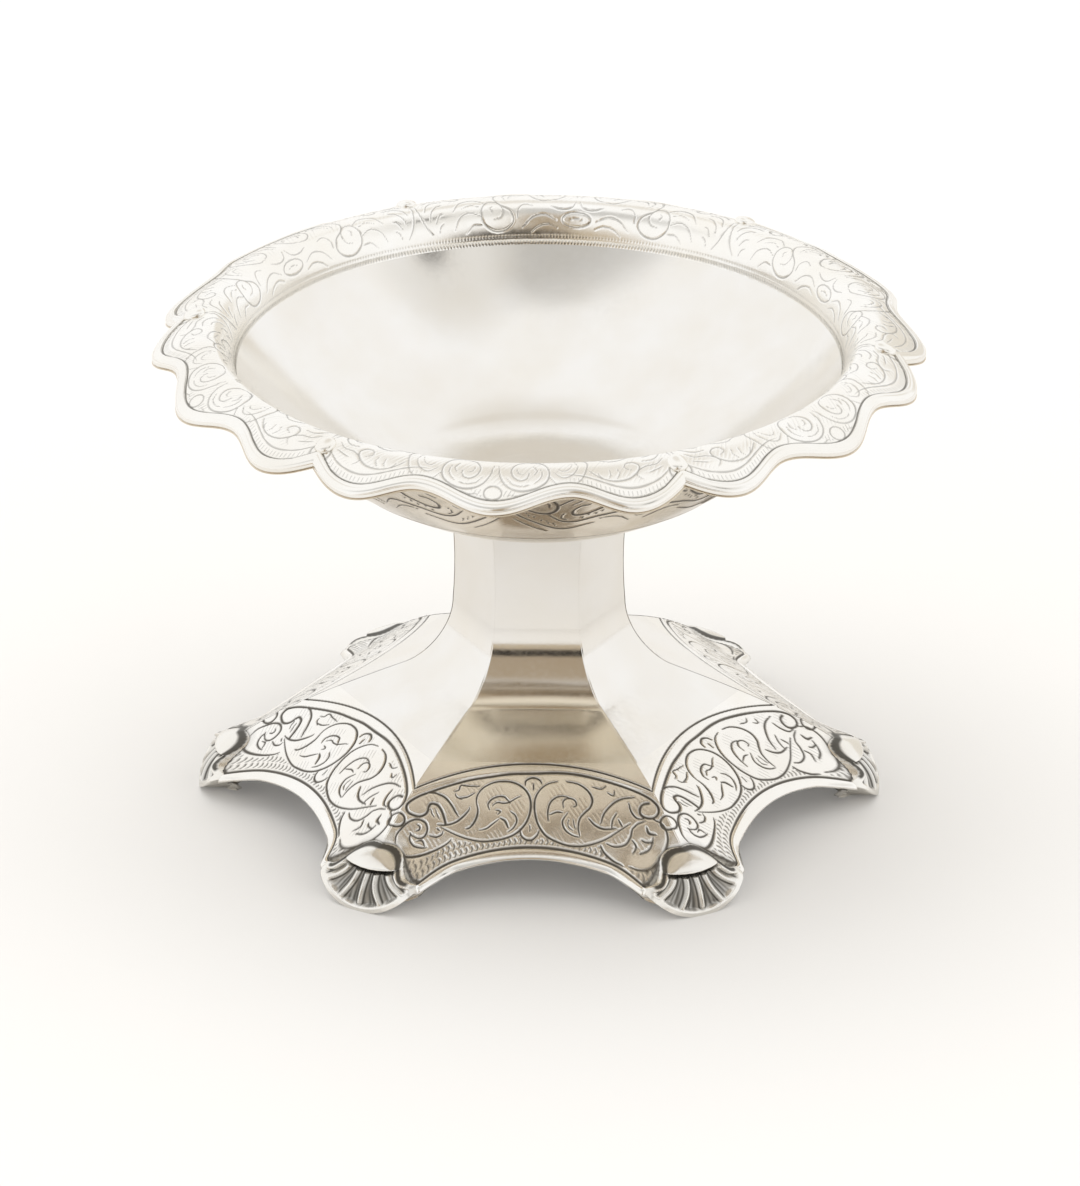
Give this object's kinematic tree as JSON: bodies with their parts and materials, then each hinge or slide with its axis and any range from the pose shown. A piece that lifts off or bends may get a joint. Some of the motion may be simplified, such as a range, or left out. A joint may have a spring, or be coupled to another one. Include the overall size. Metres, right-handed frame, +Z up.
{
  "type": "open salt cellar",
  "caption": "Silver open salt cellar: a round bowl with a chased, scalloped rim on a six-sided pillar and a six-sided domed foot standing on shell feet.",
  "frame": {"origin": "on the table, under the middle of the six-sided foot", "axes": "+Z up along the pillar; +X through the middle of one shell foot; the foot's sides face -Y and every 60 degrees from there"},
  "size_m": [0.0896, 0.089, 0.0588],
  "materials": {
    "polished_silver": "polished silver, hand worn",
    "border_silver": "polished silver wire",
    "cast_silver": "cast silver, darkened in its flutes"
  },
  "bodies": {
    "root": {"bowl": "polished_silver", "rim_wire_1": "border_silver", "rim_wire_2": "border_silver", "rim_wire_3": "border_silver", "rim_wire_4": "border_silver", "rim_wire_5": "border_silver", "rim_wire_6": "border_silver", "rim_bud_1": "border_silver", "rim_bud_2": "border_silver", "rim_bud_3": "border_silver", "rim_bud_4": "border_silver", "rim_bud_5": "border_silver", "rim_bud_6": "border_silver", "pillar": "polished_silver", "domed_foot": "polished_silver", "skirt_wire_1": "border_silver", "skirt_wire_2": "border_silver", "skirt_wire_3": "border_silver", "skirt_wire_4": "border_silver", "skirt_wire_5": "border_silver", "skirt_wire_6": "border_silver", "shell_foot_1": "cast_silver", "shell_foot_2": "cast_silver", "shell_foot_3": "cast_silver", "shell_foot_4": "cast_silver", "shell_foot_5": "cast_silver", "shell_foot_6": "cast_silver"}
  },
  "joints": []
}
